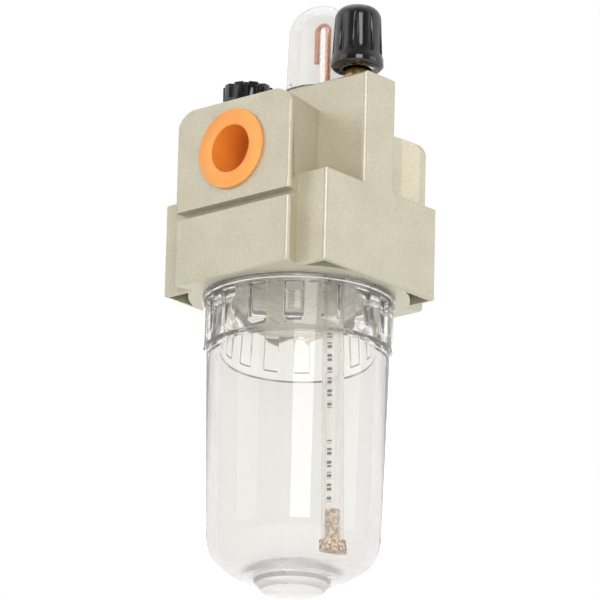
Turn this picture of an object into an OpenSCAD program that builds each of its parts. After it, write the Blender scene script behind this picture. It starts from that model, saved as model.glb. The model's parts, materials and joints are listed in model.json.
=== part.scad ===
// Air line lubricator: a compact modular oil fog unit for 1/4 inch pipe.
// Origin: centre of the outlet port at its clamp face. +X is the way the air leaves, +Z is up.
// Most pieces are drawn in the bowl's frame: bowl axis at x = y = 0, underside of the collar at z = 0.

/* [Body casting] */
// Length between the two clamp faces
body_length = 40; // [38:0.5:50]
// Width across the flow
body_width = 40; // [39:0.5:50]
// Height of the square collar that holds the bowl
collar_height = 18.1; // [16:0.1:22]
// Radius of the collar's upright corners
corner_radius = 1; // [0.5:0.1:2]
// Port axis above the underside of the collar
port_height = 24.3; // [23:0.1:30]
// Port axis to the top of the port block
port_rise = 10; // [8.5:0.1:12]
// Height of the ridge above the port block
ridge_rise = 5.9; // [4:0.1:9]
// Width of the ridge that runs across the flow
ridge_width = 9; // [8.6:0.1:12]
// Middle of the ridge, measured from the bowl axis along the flow
ridge_offset = -0.9; // [-1.2:0.1:-0.4]
// Rounding of the ridge's top edges
ridge_rounding = 1.1; // [0.5:0.1:1.6]

/* [Clamp flanges] */
// How far each flange stands out from the collar's corner posts
flange_step = 3.8; // [2.5:0.1:5]
// Width of a flange across the flow
flange_width = 28.4; // [26:0.2:32]
// Rounding of a flange's upper corners
flange_corner = 4.5; // [2:0.1:6]
// Thickness of a flange at its rim
flange_rim = 1.7; // [1:0.1:2.2]
// Slope of a flange's rim and of the pad below it, in degrees
flange_slope = 17; // [10:1:22]
// Width of the port block just behind a flange
waist_width = 21.8; // [20:0.2:24]
// Width of the port block at the ridge
neck_width = 16.8; // [14:0.2:19]
// Height of the clamp groove across each pad
groove_height = 1.6; // [1:0.1:2.5]
// Depth of the clamp groove
groove_depth = 2.2; // [1:0.1:3]

/* [Ports] */
// Bore of the 1/4 inch pipe thread
port_diameter = 11.44; // [10:0.02:12.4]
// Depth of the port thread
port_depth = 12; // [9:0.5:12.5]
// Diameter of the air passage between the ports
passage_diameter = 9.2; // [8.8:0.1:10]

/* [Bowl] */
// Outer diameter of the grip band
band_diameter = 35.7; // [35:0.1:37]
// Height of the grip band, rim included
band_height = 10.5; // [9.5:0.1:14]
// How far the rim stands out from the grip band
rim_step = 0.3; // [0.1:0.05:0.8]
// Thickness of the rim
rim_height = 1.3; // [0.8:0.1:1.8]
// Grip pockets around the band
pocket_count = 16; // [8:1:24]
// Depth of a grip pocket
pocket_depth = 0.9; // [0.4:0.1:1.2]
// Height of a grip pocket
pocket_height = 6.9; // [4:0.1:7.5]
// Step from the grip band in to the bowl's wall
band_step = 0.5; // [0.2:0.1:1]
// Radius lost from the band to the foot of the wall
bowl_taper = 0.9; // [0.3:0.1:1.5]
// Collar underside to the flat bottom of the bowl
bowl_depth = 54.5; // [48:0.5:80]
// Outer rounding at the foot of the bowl
bowl_corner = 8; // [6:0.5:10]
// Thickness of the bowl's wall and floor
bowl_wall = 2.4; // [1.8:0.1:2.8]
// Diameter of the round boss under the bowl
foot_diameter = 14.3; // [10:0.1:18]
// Height of that boss
foot_height = 2.4; // [1.4:0.1:3.5]
// Bevel around that boss
foot_bevel = 1.3; // [0.5:0.1:1.3]
// Diameter of the threaded neck
neck_diameter = 31.6; // [30.6:0.1:32]
// Length of the threaded neck above the collar's underside
neck_length = 10; // [8:0.1:11]
// Thickness of the bowl's seal ring
bowl_seal = 1.5; // [1:0.1:1.5]

/* [Sight dome] */
// Dome axis, measured from the bowl axis along the flow
dome_x = 1.7; // [1.4:0.1:2.2]
// Dome axis, measured from the bowl axis across the flow
dome_y = -2.9; // [-3.2:0.1:-1]
// Diameter of the dome at its base
dome_diameter = 14; // [12.8:0.1:14.2]
// Radius lost from the base to the round top
dome_taper = 0.4; // [0:0.1:0.8]
// Ridge top to the centre of the round top
dome_height = 11.4; // [9.8:0.1:16]
// Bore of the dome
dome_bore = 9.8; // [9:0.1:10.2]
// Diameter of the dome's threaded neck
dome_neck = 12; // [11.4:0.1:12.2]
// Length of that neck
dome_neck_length = 5; // [4:0.1:5.6]
// Thickness of the dome's seal ring
dome_seal = 1; // [0.7:0.1:1.1]
// Diameter of the drip tube
drip_diameter = 1.1; // [0.8:0.05:1.4]
// Bore of the drip tube
drip_bore = 0.6; // [0.3:0.05:0.7]
// Distance between the two legs of the drip tube
drip_span = 2.7; // [2:0.1:3.2]
// Ridge top to the middle of the tube at the top of its hook
drip_height = 14.3; // [11:0.1:14.6]
// Ridge top to the open end of the drip tube
drip_end = 6.6; // [3:0.1:8]

/* [Needle valve] */
// Needle axis, measured from the bowl axis along the flow
needle_x = -1.9; // [-2.1:0.1:-1.7]
// Needle axis, in from the front end of the ridge
needle_inset = 5.3; // [5.1:0.1:5.6]
// Diameter of the needle's stem
stem_diameter = 3; // [2.6:0.1:3.2]
// Diameter of the bush that guides the stem
bush_diameter = 4.8; // [4.4:0.1:5]
// Height of the bush above the ridge
bush_rise = 1.5; // [0.8:0.1:1.7]
// Length of the bush inside the ridge
bush_depth = 7; // [6:0.1:8]
// Bore of the needle's seat
seat_bore = 1.2; // [0.8:0.1:1.4]
// Length of the needle's point
point_length = 2; // [1.2:0.1:2.4]
// Ridge top to the underside of the knob
knob_gap = 1.9; // [1.8:0.1:3]
// Height of the knob
knob_height = 12.3; // [9:0.1:15]
// Diameter of the knob's base
knob_base = 10; // [9.4:0.1:10.1]
// Height of the knob's base
knob_base_height = 2.3; // [1.5:0.1:3]
// Diameter of the knob above its base
knob_diameter = 9.6; // [8.8:0.1:9.7]
// Radius lost towards the top of the knob
knob_taper = 0.4; // [0.1:0.05:0.6]
// Rounding of the knob's top edge
knob_rounding = 2.4; // [1:0.1:2.8]
// Finger grooves around the knob
knob_grooves = 10; // [6:1:14]
// Radius of a finger groove
knob_groove_radius = 0.5; // [0.3:0.05:0.7]

/* [Fill plug] */
// Plug axis, in from the back end of the ridge
plug_inset = 6.6; // [5.6:0.1:7]
// Diameter of the plug's head
plug_head = 9.6; // [9.2:0.1:10.4]
// Height of the plug's head
plug_height = 4; // [3:0.1:5]
// Grip notches around the head
plug_notches = 10; // [8:1:14]
// Radius of a grip notch
plug_notch_radius = 0.6; // [0.3:0.05:0.65]
// Diameter of the plug's thread
plug_thread = 6; // [5.4:0.1:6.2]
// Length of the plug's thread
plug_length = 6; // [4:0.1:8]
// Thickness of the plug's seal ring
plug_seal = 0.9; // [0.6:0.1:1]

/* [Oil pick-up] */
// Tube axis at the nipple, measured from the bowl axis across the flow
tube_y = -8.2; // [-8.6:0.1:-7.8]
// How far the tube leans out over its length
tube_lean = 1.1; // [0:0.1:1.3]
// Outer diameter of the oil tube
tube_diameter = 4; // [3.4:0.1:4.2]
// Bore of the oil tube
tube_bore = 2.7; // [2.7:0.1:2.9]
// Room left under the filter
filter_gap = 1.6; // [1.2:0.1:4]
// Diameter of the filter's head
filter_head = 4.8; // [4.2:0.1:5]
// Height of the filter's head
filter_height = 2; // [1.2:0.1:3]
// Length of the filter's stem inside the tube
filter_stem = 5.6; // [3:0.1:8]
// Diameter of the check ball in the oil nipple
oil_ball = 2; // [1.8:0.1:2.2]
// Lift of that ball
oil_ball_lift = 1.1; // [0.6:0.1:1.2]

/* [Air valves] */
// Air check valve, measured from the bowl axis against the flow
air_valve_x = 10.4; // [10:0.1:10.6]
// Diameter of the air check valve's body
air_valve_diameter = 5.2; // [4.8:0.1:5.4]
// Diameter of the air check ball
air_ball = 2.4; // [2:0.1:2.6]
// Lift of that ball
air_ball_lift = 1.2; // [0.6:0.1:1.6]
// Inner diameter of the damper's holder
holder_bore = 7.8; // [7.4:0.1:8]
// Length of the damper's holder along the flow
holder_length = 6; // [5:0.1:7]
// Thickness of the damper's vane
vane_thickness = 0.4; // [0.3:0.05:0.45]

/* [Dust plug] */
// Diameter of the dust plug's flange
dust_flange = 15.4; // [13:0.1:17]
// Thickness of that flange
dust_flange_height = 0.8; // [0.5:0.1:1.5]
// Inside diameter of the dust plug
dust_bore = 9.2; // [8:0.1:9.6]
// Length of the dust plug inside the port
dust_length = 9; // [6:0.1:10]
// Thickness of its closed end
dust_floor = 1; // [0.6:0.1:2]

/* [Hidden] */
$fn = 64;
small_fn = 24;
arc_steps = 12;

// Clearances between pieces
press_gap = 0.02;
running_gap = 0.05;
thread_gap = 0.3;
seat_gap = 0.2;
ball_room = 0.35;
cut_extra = 1;

// Colours
sand = [0.79, 0.76, 0.68];
clear = [0.86, 0.90, 0.92, 0.45];
orange = [0.98, 0.52, 0.14];
copper = [0.72, 0.45, 0.30];
brass = [0.80, 0.62, 0.30];
bronze = [0.66, 0.46, 0.24];
steel = [0.70, 0.71, 0.73];
black = [0.10, 0.10, 0.11];
nitrile = [0.05, 0.05, 0.05];
nylon = [0.93, 0.93, 0.90, 0.6];

// Heights in the bowl's frame
block_top = port_height + port_rise;
ridge_top = block_top + ridge_rise;
groove_top = port_height - port_rise;
neck_room = 1;
roof = neck_length + neck_room;

// Body casting
collar_length = body_length - 2 * flange_step;
port_radius = port_diameter / 2;
passage_radius = passage_diameter / 2;
pad_half = flange_width / 2;
pad_root_half = pad_half - flange_step * tan(flange_slope);
rim_root_half = pad_half - flange_rim * tan(flange_slope);
wedge_end = body_length / 2 - flange_step;
ridge_end = ridge_width / 2 + abs(ridge_offset);
boss_bury = 5;
web_wall = 0.9;
pocket_roof = 10;
round_boss_wall = 3;
round_boss_radius = band_diameter / 2 + round_boss_wall;

// Bowl and its seal
band_radius = band_diameter / 2;
rim_radius = band_radius + rim_step;
bowl_radius = band_radius - band_step;
foot_radius = bowl_radius - bowl_taper;
neck_radius = neck_diameter / 2;
neck_inner = neck_radius - bowl_wall;
thread_bore = neck_radius + thread_gap;
bowl_seal_radius = neck_radius + running_gap + bowl_seal / 2;
seal_recess = bowl_seal_radius + bowl_seal / 2 + running_gap;
pocket_pitch = 360 / pocket_count;
pocket_land = 0.6;
pocket_top = -rim_height - pocket_land;
pocket_phase = 9.8;
inner_floor = -bowl_depth + bowl_wall;
inner_corner = bowl_corner - bowl_wall;

// Sight dome and drip tube
dome_radius = dome_diameter / 2;
dome_top_radius = dome_radius - dome_taper;
dome_inner = dome_bore / 2;
dome_flange_gap = seat_gap;
dome_boss_wall = 0.9;
dome_boss_radius = dome_neck / 2 + dome_boss_wall;
dome_seal_radius = dome_neck / 2 - dome_seal / 2 - 2 * running_gap;
well_floor = ridge_top + dome_flange_gap - dome_neck_length - dome_seal;
drip_hole_radius = 1;
gallery_ratio = 0.8;
gallery_radius = seat_bore / 2 * gallery_ratio;
drip_radius = drip_diameter / 2;
drip_socket = 2;
upper_gallery = well_floor - drip_socket;

// Needle valve
needle_y = needle_inset - body_width / 2;
stem_radius = stem_diameter / 2;
bush_radius = bush_diameter / 2;
bush_bottom = ridge_top - bush_depth;
chamber_room = 0.4;
chamber_radius = stem_radius + chamber_room;
seat_drop = 2;
seat_level = upper_gallery - seat_drop;
seat_radius = seat_bore / 2;
point_radius = 0.25;
point_slope = (stem_radius - point_radius) / point_length;
point_dip = (seat_radius - running_gap - point_radius) / point_slope;
seat_length = 1.4;
lower_gallery = seat_level - seat_length;
knob_bottom = ridge_top + knob_gap;
knob_top = knob_bottom + knob_height;
knob_crown = 3;
stem_top = knob_top - knob_crown;
stem_ring = 0.64;
ring_groove_radius = stem_radius - stem_ring;
ring_rise = 2.2;
ring_level = bush_bottom + ring_rise;
knob_recess_radius = bush_radius + thread_gap;
knob_groove_land = 0.3;
knob_edge = 0.5;

// Fill plug
plug_x = ridge_offset;
plug_y = body_width / 2 - plug_inset;
plug_bottom = ridge_top - plug_length;
plug_seal_radius = plug_thread / 2 + thread_gap + plug_seal / 2;
plug_gap = 0.3;
plug_underside = ridge_top + plug_gap;
plug_notch_land = 1;
fill_hole_radius = 1.9;
fill_hole_y = neck_inner - fill_hole_radius - 2 * running_gap;

// Oil pick-up
tube_radius = tube_diameter / 2;
tube_bore_radius = tube_bore / 2;
nipple_radius = 2.2;
nipple_flange = 3;
nipple_flange_height = 1;
ball_seat_ratio = 0.6;
ball_stop_ratio = 0.7;
oil_ball_radius = oil_ball / 2;
nipple_hole_radius = oil_ball_radius * ball_seat_ratio;
riser_radius = oil_ball_radius * ball_stop_ratio;
nipple_seat_rise = 2;
oil_ball_seat = roof + nipple_seat_rise;
oil_ball_sink = sqrt(pow(oil_ball_radius, 2) - pow(nipple_hole_radius, 2));
oil_ball_level = oil_ball_seat + oil_ball_sink + press_gap;
oil_ball_stop = sqrt(pow(oil_ball_radius, 2) - pow(riser_radius, 2));
nipple_top = oil_ball_level + oil_ball_lift + oil_ball_stop + press_gap;
oil_chamber_radius = oil_ball_radius + ball_room;
spigot_gap = 0.15;
spigot_radius = tube_bore_radius - spigot_gap;
spigot_length = 4;
tube_top = roof - nipple_flange_height - running_gap;
tube_end = inner_floor + filter_gap + filter_height;
tube_length = tube_top - tube_end;
tube_tilt = asin(tube_lean / tube_length);

// Air check valve
air_valve_radius = air_valve_diameter / 2;
air_ball_radius = air_ball / 2;
air_hole_radius = air_ball_radius * ball_seat_ratio;
air_chamber_radius = air_ball_radius + ball_room;
air_ball_sink = sqrt(pow(air_ball_radius, 2) - pow(air_hole_radius, 2));
air_lip = 1.2;
air_cap = 1.6;
air_chamber_height = 2 * air_ball_sink + air_ball_lift + 2 * press_gap;
air_valve_drop = 3;
air_valve_bottom = roof - air_valve_drop;
air_chamber_floor = air_valve_bottom + air_lip;
air_ball_level = air_chamber_floor + air_ball_sink + press_gap;
air_valve_top = air_chamber_floor + air_chamber_height + air_cap;
air_slot_radius = 0.5;

// Damper
holder_radius = passage_radius - press_gap;
holder_inner = holder_bore / 2;
holder_start = -7.2;
vane_offset = 2;
vane_x = holder_start + vane_offset;
vane_room = 0.6;
vane_radius = holder_inner - vane_room;
vane_hinge_drop = 1.3;
vane_hinge = holder_inner - vane_hinge_drop;
vane_bead = 0.5;
vane_bead_length = 4.4;
bead_groove = vane_bead + running_gap;
bead_keep = 0.1;

// Dust plug
dust_gap = 0.1;
dust_radius = port_radius - dust_gap;
dust_inner = dust_bore / 2;

// Places a piece drawn in the bowl's frame
module at_bowl() {
    translate([-body_length / 2, 0, -port_height]) children();
}

module at_dome() {
    at_bowl() translate([dome_x, dome_y, 0]) children();
}

module at_needle() {
    at_bowl() translate([needle_x, needle_y, 0]) children();
}

module at_plug() {
    at_bowl() translate([plug_x, plug_y, 0]) children();
}

// Points of an arc, for outlines that are turned or extruded
function arc(centre, radius, from, to) = [
    for (i = [0 : arc_steps])
        let (angle = from + (to - from) * i / arc_steps)
            centre + radius * [cos(angle), sin(angle)]
];

module rounded_rectangle(width, depth, radius) {
    square([width - 2 * radius, depth], center = true);
    square([width, depth - 2 * radius], center = true);
    for (x = [-1, 1], y = [-1, 1])
        translate([x * (width / 2 - radius), y * (depth / 2 - radius)]) circle(radius);
}

// A rectangle that stands on y = 0 with rounded upper corners
module rounded_top(width, height, radius) {
    translate([-width / 2, 0]) square([width, height - radius]);
    translate([-width / 2 + radius, 0]) square([width - 2 * radius, height]);
    for (x = [-1, 1])
        translate([x * (width / 2 - radius), height - radius]) circle(radius);
}

module o_ring(ring_radius, thickness) {
    rotate_extrude() translate([ring_radius, 0]) circle(d = thickness, $fn = small_fn);
}

// A drilling between two points at one height
module gallery(from, to, level, radius) {
    run = to - from;
    translate([from[0], from[1], level])
        rotate([0, 90, atan2(run[1], run[0])]) cylinder(r = radius, h = norm(run), $fn = small_fn);
}

// Plan of the lower pads, mirrored about both axes
module pad_plan() {
    end = body_length / 2;
    half = [
        [end, pad_half], [wedge_end, pad_root_half],
        [-wedge_end, pad_root_half], [-end, pad_half]
    ];
    polygon(concat(half, [for (i = [3 : -1 : 0]) [half[i][0], -half[i][1]]]));
}

// Plan of the port block: a wedge flange at each end and a waist that narrows to the ridge
module block_plan() {
    end = body_length / 2;
    quarter = [
        [end, pad_half], [end - flange_rim, rim_root_half],
        [wedge_end, waist_width / 2], [ridge_end, neck_width / 2]
    ];
    half = concat(quarter, [for (i = [3 : -1 : 0]) [-quarter[i][0], quarter[i][1]]]);
    polygon(concat(half, [for (i = [7 : -1 : 0]) [half[i][0], -half[i][1]]]));
}

// Webbed pocket in one corner of the collar's underside, bounded by the round boss for the bowl
module corner_pocket() {
    reach = [collar_length / 2 - web_wall, body_width / 2 - web_wall];
    translate([0, 0, -cut_extra]) linear_extrude(pocket_roof + cut_extra) difference() {
        translate(reach / 2) square(reach / 2);
        circle(round_boss_radius);
    }
}

module body_mass() {
    linear_extrude(collar_height) rounded_rectangle(collar_length, body_width, corner_radius);
    intersection() {
        union() {
            linear_extrude(collar_height) pad_plan();
            translate([0, 0, collar_height - cut_extra])
                linear_extrude(port_rise + port_height) block_plan();
        }
        rotate([90, 0, 90]) linear_extrude(body_length, center = true)
            rounded_top(flange_width, block_top, flange_corner);
    }
    translate([ridge_offset, 0, 0]) intersection() {
        rotate([90, 0, 0]) linear_extrude(body_width, center = true)
            rounded_top(ridge_width, ridge_top, ridge_rounding);
        linear_extrude(ridge_top) rounded_rectangle(ridge_width, body_width, corner_radius);
    }
    translate([dome_x, dome_y, block_top - boss_bury])
        cylinder(r = dome_boss_radius, h = ridge_rise + boss_bury);
}

module body_cuts() {
    end = body_length / 2;
    // Bowl socket, seal recess and corner pockets
    translate([0, 0, -cut_extra]) cylinder(r = thread_bore, h = roof + cut_extra);
    translate([0, 0, -cut_extra]) cylinder(r = seal_recess, h = bowl_seal + cut_extra);
    for (x = [0, 1], y = [0, 1])
        mirror([x, 0, 0]) mirror([0, y, 0]) corner_pocket();
    // Clamp grooves
    for (x = [-1, 1])
        translate([x * end, 0, groove_top - groove_height / 2])
            cube([2 * groove_depth, body_width, groove_height], center = true);
    // Ports and the passage between them
    translate([-end - cut_extra, 0, port_height]) rotate([0, 90, 0]) {
        cylinder(r = port_radius, h = port_depth + cut_extra);
        cylinder(r = passage_radius, h = body_length + 2 * cut_extra);
    }
    translate([end + cut_extra, 0, port_height]) rotate([0, -90, 0])
        cylinder(r = port_radius, h = port_depth + cut_extra);
    // Dome well, drip hole and the socket of the drip tube
    translate([dome_x, dome_y, 0]) {
        translate([0, 0, well_floor])
            cylinder(r = dome_neck / 2 + press_gap, h = ridge_top - well_floor + cut_extra);
        translate([0, drip_span / 2, port_height])
            cylinder(r = drip_hole_radius, h = well_floor - port_height + cut_extra, $fn = small_fn);
        translate([0, -drip_span / 2, upper_gallery - 2 * gallery_radius])
            cylinder(r = drip_radius + press_gap, h = well_floor - upper_gallery + cut_extra, $fn = small_fn);
    }
    // Needle chamber with its seat, and the hole for its bush
    translate([needle_x, needle_y, 0]) {
        translate([0, 0, bush_bottom])
            cylinder(r = bush_radius + press_gap, h = bush_depth + cut_extra);
        translate([0, 0, seat_level])
            cylinder(r = chamber_radius, h = bush_bottom - seat_level + cut_extra);
        translate([0, 0, lower_gallery - 2 * gallery_radius])
            cylinder(r = seat_radius, h = seat_length + 2 * cut_extra, $fn = small_fn);
    }
    // Oil galleries: nipple to needle seat, needle chamber to drip tube
    gallery([0, tube_y], [needle_x, needle_y], lower_gallery, gallery_radius);
    gallery([dome_x, dome_y - drip_span / 2], [needle_x, needle_y], upper_gallery, gallery_radius);
    translate([0, tube_y, roof - cut_extra]) {
        cylinder(r = nipple_radius + press_gap, h = nipple_top - roof + cut_extra);
        cylinder(r = riser_radius, h = lower_gallery - roof + 2 * cut_extra, $fn = small_fn);
    }
    // Fill hole
    translate([plug_x, plug_y, plug_bottom - cut_extra])
        cylinder(r = plug_thread / 2 + thread_gap, h = plug_length + 2 * cut_extra);
    translate([plug_x, fill_hole_y, roof - cut_extra])
        cylinder(r = fill_hole_radius, h = plug_bottom - roof + cut_extra);
    // Air check valve and the hole that feeds it from the inlet
    translate([-air_valve_x, 0, roof - cut_extra]) {
        cylinder(r = air_valve_radius + press_gap, h = air_valve_top - roof + cut_extra);
        cylinder(r = air_hole_radius, h = port_height - roof, $fn = small_fn);
    }
}

module body() {
    color(sand) at_bowl() difference() {
        body_mass();
        body_cuts();
    }
}

module inlet_dust_plug() {
    color(orange) translate([-body_length - running_gap, 0, 0]) rotate([0, 90, 0]) difference() {
        union() {
            translate([0, 0, -dust_flange_height]) cylinder(d = dust_flange, h = dust_flange_height);
            cylinder(r = dust_radius, h = dust_length);
        }
        translate([0, 0, -dust_flange_height - cut_extra])
            cylinder(r = dust_inner, h = dust_length + dust_flange_height + cut_extra - dust_floor);
    }
}

module bowl_outline() {
    wall_top = -band_height - band_step;
    corner_centre = [foot_radius - bowl_corner, -bowl_depth + bowl_corner];
    inner_centre = [corner_centre[0], inner_floor + inner_corner];
    foot = foot_diameter / 2;
    outside = concat(
        [[neck_radius, neck_length], [neck_radius, -seat_gap], [rim_radius, -seat_gap]],
        [[rim_radius, -rim_height], [band_radius, -rim_height], [band_radius, -band_height]],
        [[bowl_radius, wall_top]],
        arc(corner_centre, bowl_corner, 0, -90),
        [[foot, -bowl_depth], [foot, -bowl_depth - foot_height + foot_bevel]],
        [[foot - foot_bevel, -bowl_depth - foot_height], [0, -bowl_depth - foot_height]]
    );
    inside = concat(
        [[0, inner_floor]],
        arc(inner_centre, inner_corner, -90, 0),
        [[bowl_radius - bowl_wall, wall_top], [neck_inner, -seat_gap], [neck_inner, neck_length]]
    );
    polygon(concat(outside, inside));
}

module bowl() {
    color(clear) at_bowl() difference() {
        rotate_extrude() bowl_outline();
        for (i = [0 : pocket_count - 1])
            rotate(pocket_phase + i * pocket_pitch)
                rotate_extrude(angle = pocket_pitch / 2)
                    translate([band_radius - pocket_depth, pocket_top - pocket_height])
                        square([pocket_depth + cut_extra, pocket_height]);
    }
}

module bowl_o_ring() {
    color(nitrile) at_bowl() translate([0, 0, bowl_seal / 2 - seat_gap + running_gap])
        o_ring(bowl_seal_radius, bowl_seal);
}

module dome_outline() {
    base = ridge_top + dome_flange_gap;
    round_centre = [0, ridge_top + dome_height];
    polygon(concat(
        [[dome_neck / 2, base - dome_neck_length], [dome_neck / 2, base], [dome_radius, base]],
        arc(round_centre, dome_top_radius, 0, 90),
        arc(round_centre, dome_inner, 90, 0),
        [[dome_inner, base - dome_neck_length]]
    ));
}

module sight_dome() {
    color(clear) at_dome() rotate_extrude() dome_outline();
}

module dome_o_ring() {
    color(nitrile) at_dome() translate([0, 0, well_floor + dome_seal / 2])
        o_ring(dome_seal_radius, dome_seal);
}

// One cross-section of the drip tube swept along its two legs and its hook
module drip_path(radius, extra) {
    bend = ridge_top + drip_height - drip_span / 2;
    translate([0, -drip_span / 2, upper_gallery - extra])
        cylinder(r = radius, h = bend - upper_gallery + extra, $fn = small_fn);
    translate([0, drip_span / 2, ridge_top + drip_end - extra])
        cylinder(r = radius, h = bend - ridge_top - drip_end + extra, $fn = small_fn);
    translate([0, 0, bend]) rotate([90, 0, 90])
        rotate_extrude(angle = 180) translate([drip_span / 2, 0]) circle(radius, $fn = small_fn);
}

module drip_tube() {
    color(copper) at_dome() difference() {
        drip_path(drip_radius, 0);
        drip_path(drip_bore / 2, cut_extra);
    }
}

module needle_bush() {
    color(brass) at_needle() difference() {
        translate([0, 0, bush_bottom]) cylinder(r = bush_radius, h = bush_depth + bush_rise);
        translate([0, 0, bush_bottom - cut_extra])
            cylinder(r = stem_radius + running_gap, h = bush_depth + bush_rise + 2 * cut_extra);
    }
}

module needle_stem() {
    tip = seat_level - point_dip;
    shank = tip + point_length;
    ring_room = stem_ring + 2 * running_gap;
    color(brass) at_needle() difference() {
        union() {
            translate([0, 0, shank]) cylinder(r = stem_radius, h = stem_top - shank);
            translate([0, 0, tip]) cylinder(r1 = point_radius, r2 = stem_radius, h = point_length);
        }
        translate([0, 0, ring_level - ring_room / 2]) difference() {
            cylinder(r = stem_radius + cut_extra, h = ring_room);
            translate([0, 0, -cut_extra]) cylinder(r = ring_groove_radius, h = ring_room + 2 * cut_extra);
        }
    }
}

module needle_o_ring() {
    color(nitrile) at_needle() translate([0, 0, ring_level])
        o_ring(ring_groove_radius + running_gap / 2 + stem_ring / 2, stem_ring);
}

module knob_outline() {
    top_radius = knob_diameter / 2 - knob_taper;
    shoulder = knob_bottom + knob_base_height;
    base_radius = knob_base / 2;
    polygon(concat(
        [[0, knob_bottom], [base_radius - knob_edge, knob_bottom], [base_radius, knob_bottom + knob_edge]],
        [[base_radius, shoulder - knob_edge], [knob_diameter / 2, shoulder]],
        arc([top_radius - knob_rounding, knob_top - knob_rounding], knob_rounding, 0, 90),
        [[0, knob_top]]
    ));
}

module adjusting_knob() {
    groove_start = knob_bottom + knob_base_height + knob_groove_land;
    color(black) at_needle() difference() {
        rotate_extrude() knob_outline();
        for (i = [0 : knob_grooves - 1])
            rotate(i * 360 / knob_grooves)
                translate([knob_diameter / 2, 0, groove_start])
                    cylinder(r = knob_groove_radius, h = knob_height, $fn = small_fn);
        translate([0, 0, knob_bottom - cut_extra]) {
            cylinder(r = stem_radius, h = stem_top - knob_bottom + cut_extra);
            cylinder(r = knob_recess_radius, h = bush_rise + cut_extra);
        }
    }
}

module fill_plug() {
    seal_room = plug_seal_radius + plug_seal / 2 + running_gap;
    seal_ceiling = ridge_top + plug_seal + 2 * running_gap;
    color(black) at_plug() difference() {
        union() {
            translate([0, 0, plug_bottom])
                cylinder(d = plug_thread, h = plug_length + plug_gap + plug_height / 2);
            translate([0, 0, plug_underside]) cylinder(d = plug_head, h = plug_height);
        }
        for (i = [0 : plug_notches - 1])
            rotate(i * 360 / plug_notches) translate([plug_head / 2, 0, plug_underside + plug_notch_land])
                cylinder(r = plug_notch_radius, h = plug_height, $fn = small_fn);
        translate([0, 0, plug_underside - cut_extra]) difference() {
            cylinder(r = seal_room, h = seal_ceiling - plug_underside + cut_extra);
            cylinder(d = plug_thread, h = plug_seal + 2 * cut_extra);
        }
    }
}

module fill_plug_o_ring() {
    color(nitrile) at_plug() translate([0, 0, ridge_top + running_gap + plug_seal / 2])
        o_ring(plug_seal_radius, plug_seal);
}

module oil_nipple() {
    flange_bottom = roof - nipple_flange_height;
    color(brass) at_bowl() translate([0, tube_y, 0]) difference() {
        union() {
            translate([0, 0, flange_bottom]) {
                cylinder(r = nipple_flange, h = nipple_flange_height);
                cylinder(r = nipple_radius, h = nipple_top - flange_bottom - press_gap);
            }
            translate([0, 0, tube_top - spigot_length])
                cylinder(r = spigot_radius, h = spigot_length + nipple_flange_height);
        }
        translate([0, 0, tube_top - spigot_length - cut_extra])
            cylinder(r = nipple_hole_radius, h = nipple_top, $fn = small_fn);
        translate([0, 0, oil_ball_seat]) cylinder(r = oil_chamber_radius, h = nipple_top);
    }
}

module oil_check_ball() {
    color(steel) at_bowl() translate([0, tube_y, oil_ball_level])
        sphere(oil_ball_radius, $fn = small_fn);
}

// The tube hangs from the nipple and leans out towards the front of the bowl
module along_tube() {
    at_bowl() translate([0, tube_y, tube_top]) rotate([-tube_tilt, 0, 0]) children();
}

module oil_tube() {
    color(nylon) along_tube() translate([0, 0, -tube_length]) difference() {
        cylinder(r = tube_radius, h = tube_length);
        translate([0, 0, -cut_extra]) cylinder(r = tube_bore_radius, h = tube_length + 2 * cut_extra);
    }
}

module sintered_filter() {
    color(bronze) along_tube() translate([0, 0, -tube_length]) {
        translate([0, 0, -filter_height]) cylinder(d = filter_head, h = filter_height);
        cylinder(r = tube_bore_radius - press_gap, h = filter_stem);
    }
}

module air_valve_body() {
    color(brass) at_bowl() translate([-air_valve_x, 0, 0]) difference() {
        translate([0, 0, air_valve_bottom])
            cylinder(r = air_valve_radius, h = air_valve_top - air_valve_bottom);
        translate([0, 0, air_valve_bottom - cut_extra])
            cylinder(r = air_hole_radius, h = air_valve_top, $fn = small_fn);
        translate([0, 0, air_chamber_floor]) cylinder(r = air_chamber_radius, h = air_chamber_height);
        translate([0, 0, air_chamber_floor + air_slot_radius]) rotate([90, 0, 0])
            cylinder(r = air_slot_radius, h = air_valve_diameter + cut_extra, center = true, $fn = small_fn);
    }
}

module air_check_ball() {
    color(steel) at_bowl() translate([-air_valve_x, 0, air_ball_level])
        sphere(air_ball_radius, $fn = small_fn);
}

// The vane's axis: a line across the flow near the top of the holder
module at_vane_hinge() {
    at_bowl() translate([vane_x, 0, port_height + vane_hinge]) rotate([90, 0, 0]) children();
}

module damper_holder() {
    color(brass) difference() {
        at_bowl() translate([holder_start, 0, port_height]) rotate([0, 90, 0]) difference() {
            cylinder(r = holder_radius, h = holder_length);
            difference() {
                translate([0, 0, -cut_extra]) cylinder(r = holder_inner, h = holder_length + 2 * cut_extra);
                translate([-holder_radius - vane_hinge + bead_keep, -holder_radius, 0])
                    cube([holder_radius, 2 * holder_radius, vane_x - holder_start + 2 * bead_groove]);
            }
        }
        at_vane_hinge()
            cylinder(r = bead_groove, h = vane_bead_length + 2 * running_gap, center = true, $fn = small_fn);
    }
}

module damper_vane() {
    color(nitrile) {
        at_vane_hinge() cylinder(r = vane_bead, h = vane_bead_length, center = true, $fn = small_fn);
        at_bowl() translate([vane_x - vane_thickness / 2, 0, port_height]) rotate([0, 90, 0]) difference() {
            cylinder(r = vane_radius, h = vane_thickness);
            translate([-vane_radius - vane_hinge, -vane_radius, -cut_extra])
                cube([vane_radius, 2 * vane_radius, vane_thickness + 2 * cut_extra]);
        }
    }
}

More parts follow.
